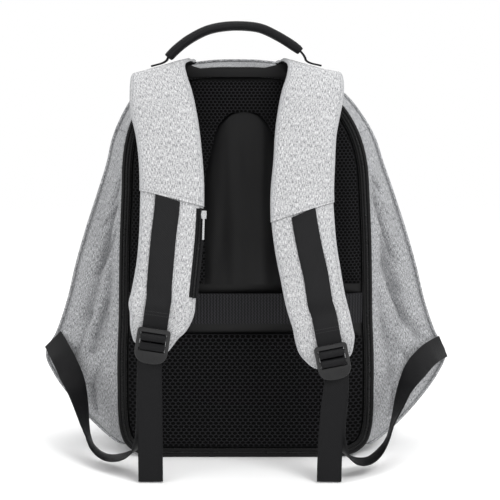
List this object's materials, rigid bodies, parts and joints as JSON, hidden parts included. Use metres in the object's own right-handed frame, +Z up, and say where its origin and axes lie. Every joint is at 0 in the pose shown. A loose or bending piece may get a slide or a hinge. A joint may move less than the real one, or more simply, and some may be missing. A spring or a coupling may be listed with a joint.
{
  "type": "anti theft backpack",
  "caption": "Grey backpack with flared lower wings, a black padded back panel, two shoulder straps with ladder buckles and a carry handle, standing on its base.",
  "frame": {"origin": "middle of the flat base, on the surface that the bag stands on", "axes": "+Z up, -Y towards the harness side, +X to the right of someone who looks at the harness side"},
  "size_m": [0.4859, 0.2523, 0.5],
  "materials": {
    "grey_cloth": "matte melange weave",
    "black_cloth": "matte weave",
    "black_mesh": "matte spacer mesh",
    "black_webbing": "satin ribbed webbing",
    "black_plastic": "satin moulded",
    "nickel": "polished"
  },
  "bodies": {
    "root": {"base_panel": "grey_cloth", "side_gusset_right": "grey_cloth", "top_gusset": "grey_cloth", "side_gusset_left": "grey_cloth", "front_panel": "grey_cloth", "strap_pad_left": "grey_cloth", "strap_flap_left": "grey_cloth", "strap_pad_right": "grey_cloth", "strap_flap_right": "grey_cloth", "back_board": "black_cloth", "zip_band": "black_cloth", "spine_panel": "black_cloth", "handle_grip": "black_cloth", "upper_back_pad": "black_mesh", "lumbar_pad": "black_mesh", "strap_lining_left": "black_mesh", "strap_lining_right": "black_mesh", "luggage_band": "black_webbing", "strap_webbing_left": "black_webbing", "adjuster_webbing_left": "black_webbing", "strap_webbing_right": "black_webbing", "adjuster_webbing_right": "black_webbing", "strap_zip_tape": "black_webbing", "handle_webbing": "black_webbing", "zip_chain": "black_plastic", "ladder_buckle_left": "black_plastic", "ladder_buckle_right": "black_plastic", "strap_zip_slider": "nickel", "strap_zip_pull": "nickel"}
  },
  "joints": []
}
